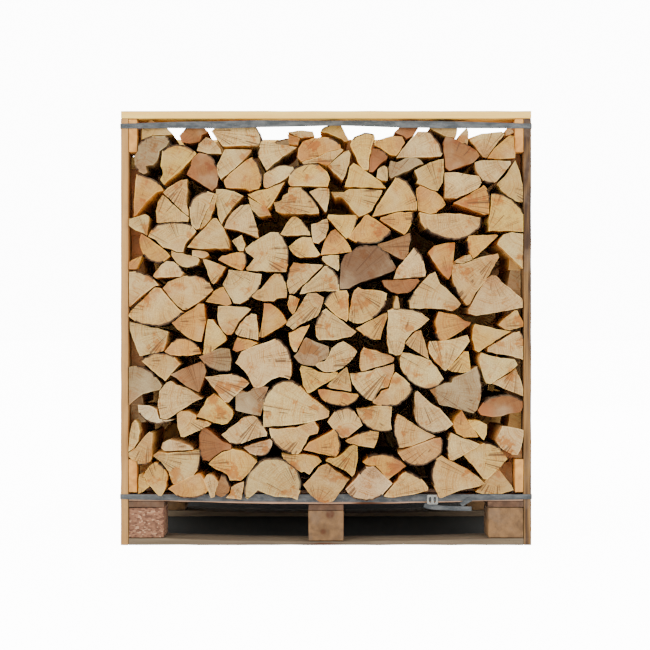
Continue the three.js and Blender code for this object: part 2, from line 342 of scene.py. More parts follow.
places = ("front", "middle", "back")
columns = ("left", "centre", "right")
sides = ("left", "right")
skid_finish = board_finish("skid_wood", along_x, srgb(122, 106, 84), srgb(72, 60, 48), dirt=0.55, specks=0.5)
skid_nodes = [f"skid_{place}" for place in places]
boards_piece("skids", skid_nodes, 0, [skid_finish], "pallet_wood", sag="top", rough=0.0014)


# Blocks: nine nailed between the skids and the stringers. Eight are sawn wood, end grain to the
# front; the left front one is pressed from wood chips.
def build_chips():
    finish, tree, surface, spot = new_finish("pressed_chips")
    tossed = put(tree, "VectorMath", {0: spot, 1: (150.0, 150.0, 260.0)}, operation="MULTIPLY").outputs[0]
    flakes = put(tree, "TexVoronoi", {"Vector": tossed, "Scale": 1.0, "Randomness": 1.0})
    parts = put(tree, "SeparateColor", {"Color": flakes.outputs["Color"]}).outputs
    colour = mixed(tree, parts["Red"], srgb(156, 110, 80), srgb(88, 56, 40))
    colour = mixed(tree, step_up(tree, parts["Green"], 0.8, 0.95), colour, srgb(190, 148, 112))
    fine = noise_at(tree, spot, (420.0, 420.0, 420.0), 2.0)
    colour = mixed(tree, sum_of(tree, fine, 0.35, "MULTIPLY"), colour, srgb(92, 62, 46))
    cover(tree, surface, colour, 0.9, 0.5, sum_of(tree, parts["Blue"], fine), 0.5, 0.0014)
    return finish


block_finish = board_finish("block_wood", along_y, srgb(138, 104, 68), srgb(80, 60, 42), dirt=0.5, specks=0.5)
block_shape = bmesh.new()
block_nodes = [f"block_{place}_{column}" for place in places for column in columns]
for node in block_nodes:
    pressed = int(node == "block_front_left")
    add_board(block_shape, *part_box(node), 1, rough=0.0016, edge=0.003, grain_slot=pressed)
add_piece("blocks", block_shape, [block_finish, build_chips()], "pallet_wood", *block_nodes)


# Stringers: three dark damp boards from front to back over the blocks.
stringer_finish = board_finish(
    "stringer_wood", along_y, srgb(104, 76, 56), srgb(58, 40, 28), dirt=0.4, specks=0.5
)
stringer_nodes = [f"stringer_{column}" for column in columns]
boards_piece("stringers", stringer_nodes, 1, [stringer_finish], "pallet_wood", rough=0.0016)


# Deck boards: seven across the width, carrying the logs, pinkish where they are less dirty.
deck_finish = board_finish("deck_wood", along_x, srgb(186, 148, 120), srgb(122, 88, 66), dirt=0.5, specks=0.4)
deck_nodes = [f"deck_board_{i + 1}" for i in range(7)]
boards_piece("deck_boards", deck_nodes, 0, [deck_finish], "pallet_wood", sag="whole", rough=0.0012)


# Posts: planks nailed upright to the pallet's sides. The left ones are clean pale softwood; the
# right ones are older, browner and streaked with grey.
post_finish = board_finish("post_wood", along_z, srgb(190, 144, 84), srgb(142, 96, 50), dirt=0.3, specks=0.3)
old_post_finish = board_finish("old_post_wood", along_z, srgb(158, 118, 68), srgb(62, 44, 32), 1.5, dirt=0.5)
for side, finish in (("left", post_finish), ("right", old_post_finish)):
    boards_piece(f"posts_{side}", [f"post_{place}_{side}" for place in places], 2, [finish], "frame_wood")


# Top planks: one across each pair of posts, nailed down, the cleanest wood of the crate.
plank_finish = board_finish(
    "plank_wood", along_x, srgb(255, 216, 116), srgb(242, 184, 84), dirt=0.05, specks=0.1
)
plank_nodes = [f"top_plank_{place}" for place in places]
boards_piece("top_planks", plank_nodes, 0, [plank_finish], "frame_wood")


# Slats: a low and a high board inside the posts on each side, from front to back.
slat_finish = board_finish(
    "slat_wood", along_y, srgb(226, 164, 82), srgb(170, 106, 48), dirt=0.25, specks=0.3
)
slat_nodes = [f"slat_{level}_{column}" for level in ("bottom", "top") for column in sides]
boards_piece("slats", slat_nodes, 1, [slat_finish], "slat_wood", rough=0.0012)


# Logs: beech and birch, sawn to length and split lengthways, so that each shows a sawn end, torn
# split sides and, where it came from the outside of the trunk, a skin of bark. Every end below is
# its outline in millimetres, X and Z, anticlockwise; a third number is how far the bark bulges
# out along the side that follows.
log_ends = {
    "pale": [
        [(-326, 998), (-300, 991), (-264, 990), (-268, 1003), (-285, 1025), (-303, 1032), (-321, 1015)],
        [(-262, 1011), (-168, 1013, 2), (-164, 1027, 3), (-180, 1062), (-225, 1067), (-278, 1061),
         (-290, 1049), (-273, 1026)],
        [(-328, 799), (-320, 803), (-306, 838), (-282, 890), (-300, 896, 3), (-330, 883, 3), (-345, 856),
         (-344, 835), (-340, 812)],
        [(-264, 812), (-256, 828), (-228, 866), (-210, 884), (-232, 895), (-262, 901), (-278, 901),
         (-277, 870), (-273, 835)],
        [(-266, 926), (-250, 938), (-222, 962), (-196, 988), (-188, 1000), (-220, 1001), (-256, 1001),
         (-264, 984), (-275, 962), (-273, 940)],
        [(-158, 962), (-150, 949), (-110, 984), (-74, 1007), (-130, 1017), (-146, 1023), (-163, 1022),
         (-168, 1008, 2), (-171, 984)],
        [(-157, 908), (-150, 904), (-128, 914), (-107, 925), (-96, 934), (-80, 949), (-86, 958, 2),
         (-118, 961, 2), (-142, 948), (-157, 938)],
        [(-97, 1047), (-78, 1037), (-62, 1032), (-29, 1036), (-33, 1048), (-60, 1051)],
        [(-42, 894), (-20, 868), (-2, 843), (2, 846), (8, 880), (7, 902), (-18, 904)],
        [(4, 960), (20, 943), (42, 924), (48, 935), (58, 965), (62, 990), (57, 999), (47, 996), (28, 980)],
        [(178, 981), (291, 985), (295, 993, 4), (274, 1035, 3), (257, 1048), (232, 1048), (206, 1018)],
        [(128, 930), (140, 924), (155, 922), (156, 940), (154, 955), (146, 960), (131, 950)],
        [(334, 1025), (345, 1019), (359, 1015), (361, 1048), (357, 1058), (341, 1042)],
        [(362, 1031), (384, 1001), (398, 984), (408, 982), (421, 1002), (437, 1024), (452, 1041),
         (446, 1048), (395, 1043)],
        [(456, 1037), (468, 1041), (477, 1046), (470, 1055), (457, 1049)],
        [(376, 968), (378, 955), (384, 940), (398, 922, 2), (424, 917), (430, 920), (448, 940), (466, 965),
         (465, 971), (400, 973)],
        [(300, 880), (330, 878), (360, 891), (384, 904), (393, 918, 2), (388, 933), (360, 937), (330, 943),
         (300, 942)],
        [(-499, 809), (-490, 803), (-470, 794), (-452, 784), (-449, 808), (-447, 832), (-456, 837),
         (-484, 829), (-499, 826)],
        [(-449, 781), (-432, 774), (-418, 761), (-412, 754), (-392, 750), (-378, 743), (-362, 742),
         (-356, 762), (-340, 781), (-328, 794), (-338, 808, 3), (-372, 816, 3), (-412, 813, 4),
         (-440, 798)],
        [(-436, 682), (-430, 678), (-367, 680), (-363, 692, 2), (-372, 707), (-386, 717), (-402, 719),
         (-416, 709)],
        [(-499, 603), (-496, 604), (-478, 621), (-460, 636), (-440, 652), (-424, 658), (-436, 673, 3),
         (-460, 687, 2), (-482, 693), (-499, 692)],
        [(-257, 803), (-236, 800), (-212, 793), (-188, 785), (-171, 779), (-174, 800), (-184, 834),
         (-194, 862), (-214, 860), (-236, 842), (-250, 822)],
        [(-261, 661), (-248, 638), (-233, 613), (-218, 611), (-196, 623, 1), (-178, 640, 1), (-167, 660),
         (-163, 686), (-190, 690), (-228, 695), (-246, 697), (-249, 683)],
        [(-237, 770), (-226, 755), (-220, 745), (-209, 745), (-204, 762), (-213, 785), (-223, 778)],
        [(-202, 701), (-200, 696), (-101, 692), (-97, 712, 2), (-96, 745, 2), (-104, 768, 2), (-119, 791),
         (-140, 792), (-164, 779), (-186, 766), (-205, 750), (-200, 740), (-181, 726)],
        [(-33, 767), (-20, 763), (-2, 779), (6, 802), (3, 825), (-8, 822), (-22, 815), (-37, 811),
         (-36, 790)],
        [(-97, 672), (-97, 655), (-92, 638), (-80, 637), (-68, 651), (-46, 670), (-26, 691), (-8, 709),
         (-40, 711), (-82, 715), (-92, 700, 1)],
        [(-66, 636), (-45, 640), (-15, 643), (33, 644), (33, 660, 3), (24, 688, 3), (4, 706), (-4, 706),
         (-20, 688), (-42, 667), (-59, 653)],
        [(-10, 724), (0, 713), (18, 702), (30, 694), (33, 700), (33, 733), (12, 734), (-8, 731)],
        [(-101, 558), (-84, 546), (-70, 556), (-50, 566), (-26, 578), (-16, 592), (-8, 614), (-6, 627),
         (-24, 638), (-46, 637), (-60, 615), (-76, 590), (-95, 570)],
        [(-230, 538), (-222, 531), (-200, 526), (-172, 519), (-171, 535), (-173, 560), (-176, 584),
         (-188, 586), (-202, 577), (-217, 560)],
        [(-229, 462), (-212, 447), (-200, 434), (-183, 401), (-172, 399), (-158, 404), (-138, 420),
         (-118, 427), (-100, 424), (-92, 420), (-88, 432), (-90, 470, 4), (-104, 505, 4), (-128, 523),
         (-150, 514), (-190, 501), (-214, 489)],
        [(-27, 456), (-15, 446), (0, 439), (22, 440), (42, 450), (60, 465), (78, 490), (66, 503),
         (44, 516), (30, 511), (14, 498), (7, 480), (-3, 466), (-18, 463)],
        [(61, 434), (67, 410), (80, 391, 2), (100, 372), (121, 364), (127, 382), (138, 398), (156, 402),
         (163, 420), (171, 441), (171, 459), (140, 450), (104, 440), (84, 437)],
        [(154, 550), (155, 515), (160, 487), (176, 481), (190, 484), (197, 500), (200, 518), (218, 540),
         (240, 553), (261, 572), (240, 588, 1), (212, 597, 1), (170, 598), (156, 594), (158, 574)],
        [(188, 452), (200, 432, 2), (224, 407, 2), (248, 398, 2), (276, 402, 2), (297, 421), (284, 442),
         (264, 468), (238, 478), (212, 486), (194, 488), (187, 474)],
        [(259, 500), (262, 487), (276, 467), (296, 445), (302, 442), (318, 459), (336, 480), (352, 501),
         (362, 516), (357, 532), (338, 527), (300, 518), (262, 516)],
        [(409, 490), (440, 484), (472, 479), (499, 470), (499, 500), (498, 522, 1), (490, 541), (472, 538),
         (444, 519), (410, 501)],
        [(387, 474), (391, 450), (398, 426), (405, 411), (416, 409), (440, 425), (466, 441), (483, 457),
         (476, 470), (440, 474), (412, 480), (392, 487)],
        [(420, 409), (446, 399), (474, 388), (499, 378), (498, 398), (490, 424), (480, 447), (464, 434),
         (440, 421)],
        [(213, 600), (262, 600), (300, 598), (318, 593), (334, 602), (341, 611), (322, 632), (304, 650),
         (288, 662), (276, 692), (262, 686), (242, 664), (222, 640, 1), (212, 620)],
        [(362, 586), (380, 581), (420, 588), (470, 597), (499, 602), (499, 622), (474, 642), (446, 664),
         (430, 682), (418, 683), (404, 673), (384, 641), (368, 610), (360, 596)],
        [(-499, 556), (-488, 522), (-470, 479), (-440, 486), (-412, 492), (-404, 515), (-400, 541),
         (-440, 551), (-480, 562), (-499, 567)],
        [(-424, 352), (-418, 323), (-402, 320), (-384, 330), (-358, 348), (-330, 366), (-312, 372),
         (-338, 388), (-352, 398), (-380, 407), (-392, 416), (-402, 412), (-420, 390)],
        [(-306, 426), (-282, 396), (-256, 363), (-247, 362), (-222, 386), (-200, 404), (-194, 411),
         (-214, 426, 2), (-238, 433), (-270, 431)],
        [(-158, 300), (-120, 303), (-84, 306), (-42, 312), (-20, 318), (6, 326), (8, 340), (-10, 355),
         (-34, 371), (-52, 388), (-66, 404, 2), (-92, 417, 2), (-118, 413, 3), (-144, 392, 3), (-157, 362)],
        [(-438, 228), (-418, 213), (-398, 188), (-391, 165), (-386, 156), (-372, 159), (-336, 176),
         (-325, 192, 2), (-319, 218, 2), (-320, 240), (-360, 236), (-400, 233), (-426, 236)],
        [(-204, 124), (-198, 119), (-180, 133), (-172, 142), (-150, 132), (-128, 125), (-92, 124),
         (-72, 117), (-65, 140, 3), (-68, 176, 5), (-92, 208, 5), (-138, 221, 6), (-180, 200, 5),
         (-203, 158, 2)],
        [(4, 313), (22, 291), (40, 272), (56, 275), (92, 304), (84, 322), (70, 340, 2), (48, 347, 2),
         (22, 338)],
        [(308, 232), (313, 217), (322, 216), (348, 231), (376, 246), (388, 256), (370, 264), (340, 273),
         (316, 285), (308, 268, 2)],
        [(-498, 238), (-484, 247), (-474, 265), (-470, 290), (-474, 308), (-482, 318), (-490, 308),
         (-496, 275)],
        [(-252, 122), (-214, 118), (-210, 140), (-207, 162), (-222, 158), (-238, 149), (-241, 134)],
        [(-296, 140), (-290, 122), (-282, 124), (-276, 148), (-270, 160), (-284, 176), (-300, 180),
         (-308, 168)],
        [(171, 674), (215, 677), (250, 681), (252, 690), (245, 720, 4), (232, 743, 2), (222, 753),
         (208, 733), (178, 697)],
        [(322, 716), (345, 713), (370, 724), (364, 736), (350, 733), (330, 722)],
        [(433, 762), (499, 700), (499, 788), (470, 792), (450, 786), (438, 772)],
        [(-25, 530), (-18, 520), (30, 521), (62, 528), (76, 541), (52, 558), (28, 578), (0, 599),
         (-10, 592, 3), (-26, 556)],
    ],
    "tan": [
        [(-467, 1028), (-441, 1038), (-404, 1039), (-389, 1041), (-403, 1058), (-424, 1068), (-444, 1077),
         (-466, 1060)],
        [(-411, 892), (-360, 842), (-347, 833), (-352, 870), (-350, 900), (-351, 926), (-366, 923),
         (-385, 912), (-400, 903)],
        [(-427, 817), (-385, 818), (-350, 819), (-346, 829), (-364, 842), (-407, 882), (-413, 885),
         (-424, 868), (-429, 845)],
        [(-132, 866), (-126, 845), (-105, 839), (-40, 838), (-18, 840), (-22, 856, 2), (-44, 886, 2),
         (-62, 904), (-93, 905), (-96, 890), (-108, 884), (-112, 872)],
        [(14, 894), (22, 880), (38, 882), (58, 862), (75, 840), (84, 832), (100, 838), (116, 848),
         (126, 868), (139, 888), (142, 898), (100, 901), (58, 901), (45, 893)],
        [(224, 948), (233, 926), (229, 917), (240, 912), (262, 902), (282, 897), (295, 918), (298, 945),
         (297, 977), (262, 968)],
        [(262, 1057), (298, 1038), (328, 1031), (333, 1054), (326, 1067, 2), (298, 1074, 2), (273, 1071)],
        [(433, 915), (442, 900), (462, 882), (480, 871), (499, 869), (499, 900), (492, 935), (484, 960),
         (479, 974), (470, 960), (452, 933)],
        [(-390, 733), (-378, 716), (-364, 706), (-345, 704, 1), (-327, 709), (-320, 722), (-324, 728),
         (-345, 734), (-362, 739), (-380, 740), (-391, 746)],
        [(-499, 581), (-482, 567, 3), (-445, 557, 3), (-408, 559, 2), (-382, 572, 1), (-363, 590),
         (-380, 607), (-400, 629), (-418, 650), (-432, 652), (-450, 634), (-470, 614), (-492, 593)],
        [(-413, 651), (-397, 631), (-377, 608), (-361, 596), (-344, 602), (-324, 614), (-308, 626),
         (-286, 646), (-296, 664, 2), (-322, 680, 1), (-350, 682), (-378, 675), (-400, 666)],
        [(-289, 664), (-284, 661), (-266, 685), (-254, 704), (-280, 715), (-303, 723), (-311, 723),
         (-300, 696)],
        [(-350, 754), (-320, 750), (-280, 752), (-243, 751), (-246, 772), (-258, 800), (-277, 827),
         (-284, 827), (-310, 799), (-334, 775)],
        [(-338, 733), (-322, 729), (-308, 727), (-296, 735), (-300, 741), (-318, 745), (-338, 746)],
        [(-115, 787), (-98, 783), (-60, 785), (-40, 784), (-43, 795, 2), (-62, 821), (-76, 831),
         (-86, 830), (-100, 813)],
        [(-189, 631), (-174, 622), (-158, 618), (-132, 618), (-124, 625), (-100, 628), (-99, 642),
         (-104, 668, 2), (-115, 686), (-130, 687), (-148, 669), (-164, 649), (-180, 641)],
        [(-262, 545), (-250, 533), (-240, 533), (-228, 553), (-212, 575), (-190, 597), (-205, 603),
         (-240, 605), (-272, 605), (-274, 580), (-270, 560)],
        [(2, 403), (12, 398), (42, 394), (63, 390), (63, 405), (59, 430), (53, 451), (38, 440), (20, 424)],
        [(85, 458), (89, 441), (100, 443), (135, 454), (170, 465), (172, 474), (160, 481), (128, 491),
         (96, 500), (88, 486)],
        [(119, 361), (140, 354, 2), (170, 353, 3), (198, 367, 3), (217, 394, 2), (212, 407), (196, 424),
         (176, 438), (168, 428), (162, 408), (159, 397), (140, 390), (130, 376)],
        [(201, 511), (212, 501), (238, 485), (260, 471), (256, 492), (248, 520), (240, 544), (226, 540),
         (210, 524)],
        [(437, 557), (452, 547), (466, 545), (482, 549), (499, 554), (498, 566), (484, 594), (477, 594),
         (458, 579)],
        [(-466, 467), (-440, 443), (-407, 416), (-400, 424), (-369, 459), (-384, 476, 5), (-420, 486, 5),
         (-450, 478, 3)],
        [(-499, 226), (-488, 211, 2), (-468, 205, 2), (-448, 210), (-441, 222), (-440, 256), (-438, 284),
         (-446, 288), (-463, 270), (-480, 247), (-499, 234)],
        [(-143, 297), (-137, 272, 2), (-118, 248, 3), (-86, 232), (-70, 232), (-62, 241), (-42, 279),
         (-22, 284), (-20, 298), (-30, 315), (-46, 309), (-76, 298), (-112, 296)],
        [(-57, 154), (-38, 129), (-18, 113), (-2, 109), (18, 114), (28, 128), (46, 151), (58, 168),
         (36, 182), (2, 206), (-10, 204), (-26, 188), (-42, 169)],
        [(77, 347), (86, 322, 2), (104, 301, 2), (134, 289, 2), (166, 294), (163, 320), (166, 351),
         (132, 354), (106, 348)],
        [(146, 126), (168, 123), (206, 129), (256, 140), (257, 148), (240, 170, 3), (202, 188), (192, 182),
         (172, 157), (156, 139)],
        [(172, 288, 1), (184, 248), (216, 252), (250, 265), (276, 277), (252, 288), (222, 307), (198, 324),
         (181, 333), (174, 312, 1)],
        [(347, 229), (372, 203), (398, 169), (406, 168), (432, 192), (458, 219), (444, 238, 2),
         (424, 254, 2), (400, 259), (378, 249)],
        [(268, 186, 2), (272, 152), (286, 122), (294, 123), (340, 142), (388, 152), (400, 158), (384, 174),
         (350, 197), (312, 215), (292, 228), (278, 218, 2)],
        [(378, 136), (396, 131), (444, 131), (474, 141), (462, 160), (448, 178), (436, 193), (422, 182),
         (402, 163), (392, 148)],
        [(-376, 333), (-374, 300), (-366, 276), (-358, 275), (-330, 288), (-296, 303), (-290, 308),
         (-302, 314), (-330, 318), (-328, 330), (-345, 338), (-366, 340)],
        [(60, 600), (58, 570), (70, 563), (92, 563), (118, 575, 2), (140, 595, 3), (152, 620), (154, 637),
         (140, 643), (112, 647), (90, 648), (82, 653), (72, 645), (66, 628)],
        [(171, 597), (186, 597), (185, 612), (182, 628), (178, 631), (173, 615)],
        [(240, 818), (252, 800, 2), (282, 784, 3), (318, 775, 2), (345, 777, 2), (372, 790, 3),
         (392, 815, 2), (390, 828), (366, 833), (340, 838), (300, 839), (262, 836), (236, 842)],
        [(357, 608), (363, 611), (378, 640), (402, 668), (424, 706), (437, 728), (434, 738), (400, 731),
         (372, 722), (346, 711), (322, 713), (318, 688), (326, 655, 2), (340, 628)],
        [(-318, 800), (-300, 815), (-283, 850), (-276, 885), (-280, 890), (-304, 838)],
        [(-196, 880), (-188, 850), (-170, 832), (-140, 835), (-146, 850), (-172, 866)],
        [(-97, 1040), (-92, 1016), (-72, 1012), (-66, 1029), (-80, 1034)],
        [(-58, 965), (-20, 968), (0, 962), (8, 964), (44, 1000), (38, 1003), (0, 993), (-20, 982),
         (-60, 969)],
    ],
    "orange": [
        [(-486, 832), (-478, 836), (-455, 868), (-428, 893), (-411, 897), (-420, 912, 3), (-450, 930, 2),
         (-478, 938), (-481, 920), (-484, 880)],
        [(-258, 923), (-252, 905), (-205, 903), (-193, 897), (-170, 902), (-164, 915, 4), (-166, 945, 4),
         (-186, 981), (-200, 975), (-228, 952), (-245, 938)],
        [(-72, 982), (-62, 971), (-20, 984), (0, 994), (38, 1004), (35, 1015, 4), (8, 1031), (-30, 1031),
         (-58, 1022), (-70, 1003)],
        [(160, 988), (177, 985), (188, 1000), (199, 1018), (192, 1033), (165, 1035), (127, 1024),
         (122, 1012), (138, 1005)],
        [(233, 847), (262, 838), (278, 841), (302, 862), (292, 880), (276, 894), (256, 901), (238, 909),
         (229, 902), (231, 872)],
        [(409, 979), (440, 976), (477, 980), (477, 1034), (464, 1036), (424, 1002)],
        [(322, 866), (345, 858), (375, 846), (400, 837), (413, 839), (413, 870, 3), (408, 900), (399, 911),
         (384, 901), (355, 883)],
        [(-470, 758), (-461, 736, 4), (-434, 717, 3), (-410, 718), (-394, 732), (-402, 742), (-420, 756),
         (-445, 775), (-467, 788), (-471, 775)],
        [(-499, 699), (-479, 699), (-474, 712), (-466, 731), (-484, 724), (-499, 716)],
        [(-390, 563), (-376, 547), (-355, 530), (-334, 519), (-315, 515), (-311, 535), (-304, 565),
         (-308, 592), (-309, 611), (-322, 611), (-334, 600), (-355, 588), (-376, 573)],
        [(-272, 722), (-262, 717), (-240, 706), (-222, 698), (-212, 695), (-204, 708, 2), (-203, 728, 1),
         (-208, 740), (-224, 741), (-244, 736), (-262, 732)],
        [(-304, 617), (-280, 612), (-250, 606), (-239, 612), (-247, 632), (-260, 654), (-270, 650),
         (-284, 642)],
        [(-13, 735), (20, 737), (66, 742), (60, 757), (45, 778), (24, 799), (12, 794), (0, 775), (-8, 754)],
        [(-170, 528), (-162, 526), (-140, 538), (-112, 555), (-99, 565), (-108, 582), (-124, 600),
         (-140, 611), (-157, 612), (-159, 580), (-164, 548)],
        [(-236, 495), (-226, 490), (-202, 497), (-172, 512), (-188, 518), (-206, 521), (-224, 526),
         (-230, 515)],
        [(-20, 393), (-14, 376), (0, 363, 1), (28, 354, 2), (62, 357, 2), (82, 376), (80, 383), (50, 387),
         (20, 390), (-5, 395)],
        [(278, 556), (280, 536, 1), (287, 519), (298, 517), (330, 535), (362, 557), (366, 564), (350, 568),
         (330, 582), (300, 588), (285, 591), (280, 578)],
        [(-407, 490), (-392, 482), (-350, 480), (-316, 485), (-322, 502, 2), (-346, 520, 2),
         (-370, 524, 2), (-388, 514)],
        [(-398, 145), (-376, 128, 3), (-342, 121, 3), (-304, 133), (-296, 142), (-306, 165), (-318, 183),
         (-334, 178), (-366, 163)],
        [(93, 211), (108, 203), (124, 203), (138, 190), (150, 174), (158, 168), (178, 183), (202, 201),
         (188, 214, 2), (160, 227, 2), (126, 229, 2), (106, 222)],
        [(322, 302), (330, 284), (350, 274), (384, 275), (372, 296), (356, 318), (343, 341), (331, 328),
         (325, 316)],
        [(-57, 243), (-20, 234), (4, 229), (24, 225), (33, 238, 3), (34, 268, 3), (22, 296), (12, 288),
         (-12, 277), (-44, 260)],
        [(56, 778), (78, 767, 3), (120, 764, 5), (148, 778, 3), (163, 796), (142, 812), (106, 836),
         (98, 834), (80, 810)],
        [(137, 823), (160, 808), (198, 786), (206, 795), (216, 815, 3), (219, 842), (190, 843), (160, 836),
         (140, 829)],
        [(372, 726), (384, 735), (434, 783), (430, 786), (360, 782), (357, 770, 2), (362, 745)],
        [(258, 742), (276, 714), (298, 684), (310, 674), (317, 686), (322, 722), (326, 766), (300, 764),
         (274, 757)],
    ],
    "russet": [
        [(-366, 1021), (-345, 1018), (-320, 1023), (-315, 1040), (-298, 1047), (-312, 1061, 2),
         (-345, 1062, 3), (-359, 1052), (-372, 1038)],
        [(-352, 938), (-330, 924), (-288, 897), (-276, 908), (-272, 930, 5), (-280, 965, 5), (-300, 988),
         (-322, 992), (-338, 978), (-342, 958)],
        [(109, 945), (119, 945), (136, 965), (154, 978), (156, 986, 3), (136, 1002), (117, 1003),
         (113, 985), (110, 960)],
        [(173, 1046), (196, 1037), (204, 1030), (222, 1038), (233, 1054), (237, 1072), (216, 1074),
         (189, 1067), (184, 1056)],
        [(300, 985), (303, 955), (312, 947), (335, 955), (372, 968), (388, 985), (380, 998),
         (362, 1010, 2), (345, 1016), (328, 1027), (303, 1034), (297, 1018), (297, 1000)],
        [(384, 342), (392, 330), (420, 325), (446, 328), (470, 335), (492, 338), (499, 350), (496, 366, 2),
         (470, 379, 3), (430, 377, 3), (398, 362)],
        [(-312, 216), (-296, 213), (-282, 226), (-262, 240), (-240, 243), (-240, 254), (-262, 263),
         (-280, 278), (-298, 293), (-312, 298), (-320, 280), (-321, 245, 2)],
        [(142, 670), (148, 655), (166, 641), (182, 637), (208, 639), (222, 650), (236, 668), (232, 674),
         (190, 671)],
    ],
    "yellow": [
        [(-418, 960), (-412, 940), (-419, 925), (-409, 912), (-396, 926), (-362, 953), (-349, 968),
         (-328, 990), (-333, 997, 5), (-378, 1014, 3), (-414, 998)],
        [(-198, 887), (-172, 868), (-150, 851), (-141, 858), (-130, 874), (-118, 895), (-105, 919),
         (-124, 911), (-148, 901), (-168, 898)],
        [(-95, 918), (-90, 909), (-64, 909), (-20, 908), (4, 907), (10, 925), (2, 945), (-18, 962, 4),
         (-60, 962, 4), (-92, 938)],
        [(-14, 1048), (4, 1045), (33, 1032), (47, 1022), (58, 1025), (50, 1040), (39, 1063), (30, 1070, 2),
         (4, 1062, 3)],
        [(84, 963), (95, 950), (107, 950), (110, 985), (114, 1004), (118, 1018), (124, 1030),
         (121, 1039, 3), (88, 1039, 3), (66, 1026), (61, 1012), (72, 990)],
        [(48, 908), (100, 906), (152, 904), (138, 920), (105, 943), (85, 958), (70, 967), (60, 957),
         (55, 930)],
        [(117, 832), (140, 836), (180, 845), (214, 848), (229, 847), (230, 870, 3), (217, 903, 4),
         (190, 929, 2), (176, 931), (158, 902), (140, 875), (128, 858)],
        [(411, 795), (460, 796), (499, 793), (499, 838, 1), (480, 864, 2), (450, 885, 2), (418, 889),
         (416, 850), (411, 820)],
        [(-94, 756), (-82, 737), (-64, 728), (-24, 730), (-15, 736), (-30, 758), (-38, 779), (-58, 780),
         (-76, 771)],
        [(-97, 610), (-93, 596), (-85, 585), (-80, 588), (-73, 606), (-67, 623), (-80, 630), (-92, 633)],
        [(-93, 528), (-90, 508), (-80, 490), (-75, 490), (-62, 516), (-51, 538), (-41, 558), (-60, 553),
         (-76, 544), (-93, 536)],
        [(-62, 430), (-58, 405), (-47, 387), (-42, 386), (-20, 400), (4, 413), (24, 427), (30, 437),
         (0, 435), (-20, 439), (-38, 449), (-62, 455), (-66, 445)],
        [(305, 448), (318, 440), (345, 437), (365, 441), (363, 464), (360, 490), (349, 490), (332, 471),
         (314, 455)],
        [(370, 522), (377, 495), (386, 489), (408, 505), (438, 524), (468, 541), (430, 547), (400, 555),
         (377, 560), (371, 545)],
        [(-311, 484), (-300, 483), (-278, 500), (-252, 519), (-254, 530), (-272, 553), (-286, 570),
         (-298, 572), (-303, 545)],
        [(-474, 132), (-462, 137), (-446, 150), (-456, 166), (-462, 184), (-471, 180), (-473, 160)],
        [(-459, 178), (-448, 156), (-422, 128), (-415, 127), (-404, 150), (-400, 178), (-408, 194, 2),
         (-424, 208), (-434, 210), (-448, 197)],
        [(-328, 326), (-300, 318), (-284, 311), (-262, 306), (-250, 309), (-238, 322), (-236, 340),
         (-256, 362), (-284, 384), (-300, 372), (-308, 354)],
        [(-297, 206), (-280, 194), (-262, 187), (-250, 180), (-243, 165), (-216, 164), (-200, 179),
         (-174, 212), (-190, 227), (-204, 236), (-236, 244), (-262, 236), (-284, 220)],
        [(-112, 233), (-106, 218, 2), (-84, 199), (-62, 186), (-54, 188), (-42, 180), (-31, 196),
         (-11, 213), (-22, 224), (-58, 232), (-86, 229)],
        [(49, 265), (62, 258), (92, 252), (121, 247), (128, 264), (133, 287), (110, 290, 1), (82, 282),
         (62, 272)],
        [(0, 214), (30, 199), (52, 188), (66, 175), (74, 190), (80, 220), (79, 251), (70, 255), (58, 250),
         (46, 236), (28, 223), (6, 221)],
        [(359, 318), (368, 302), (386, 280), (398, 267), (405, 282), (406, 306), (388, 315)],
        [(52, 776), (60, 783), (72, 805, 2), (78, 825), (76, 835), (6, 836), (4, 828), (28, 800)],
        [(-4, 612), (12, 594), (36, 575), (52, 566), (56, 575), (57, 634), (52, 645), (26, 643, 3),
         (6, 631, 2)],
        [(76, 549), (98, 531, 2), (120, 521), (137, 521), (143, 548), (155, 578), (154, 588), (136, 581),
         (100, 562)],
    ],
    "grey": [
        [(-484, 985), (-483, 962, 2), (-474, 947), (-461, 939), (-452, 943), (-456, 959), (-438, 962),
         (-426, 975), (-421, 997), (-403, 1010), (-396, 1023, 3), (-406, 1036), (-440, 1035, 4),
         (-478, 1010)],
        [(159, 935), (165, 928), (185, 938), (210, 948), (226, 958), (246, 965), (238, 974), (228, 979),
         (200, 978), (180, 968), (163, 972), (158, 955)],
        [(-81, 478), (-70, 464), (-56, 457), (-30, 455), (-14, 466), (2, 474), (8, 490), (6, 503),
         (-20, 512), (-50, 526), (-56, 520), (-68, 494)],
        [(262, 393), (280, 372), (286, 357), (318, 350), (345, 342), (372, 335), (382, 345), (391, 382, 2),
         (391, 412, 2), (382, 453), (367, 445), (345, 433), (322, 424), (317, 411), (300, 411), (284, 404)],
        [(-499, 355), (-484, 368), (-462, 384), (-420, 394), (-415, 404), (-432, 426, 3), (-456, 448, 3),
         (-478, 454), (-499, 451)],
        [(-320, 477), (-306, 460, 2), (-278, 444, 2), (-243, 442), (-240, 470), (-244, 497), (-266, 499),
         (-290, 490)],
        [(-228, 342), (-196, 334), (-165, 328), (-161, 345), (-157, 360), (-155, 378), (-146, 400),
         (-170, 402), (-186, 396), (-200, 386), (-214, 391), (-228, 382)],
    ],
    "pink": [
        [(224, 330), (230, 310, 2), (250, 292, 3), (280, 285, 2), (302, 292), (321, 307), (302, 330),
         (288, 346), (264, 360), (244, 378), (231, 391), (225, 386)],
        [(-416, 247), (-408, 240), (-376, 241), (-336, 243), (-346, 253), (-370, 262), (-396, 268),
         (-412, 260)],
        [(-264, 281), (-242, 260, 2), (-214, 258), (-184, 270), (-150, 277), (-149, 285), (-160, 302, 2),
         (-172, 322), (-184, 328), (-206, 325), (-234, 303)],
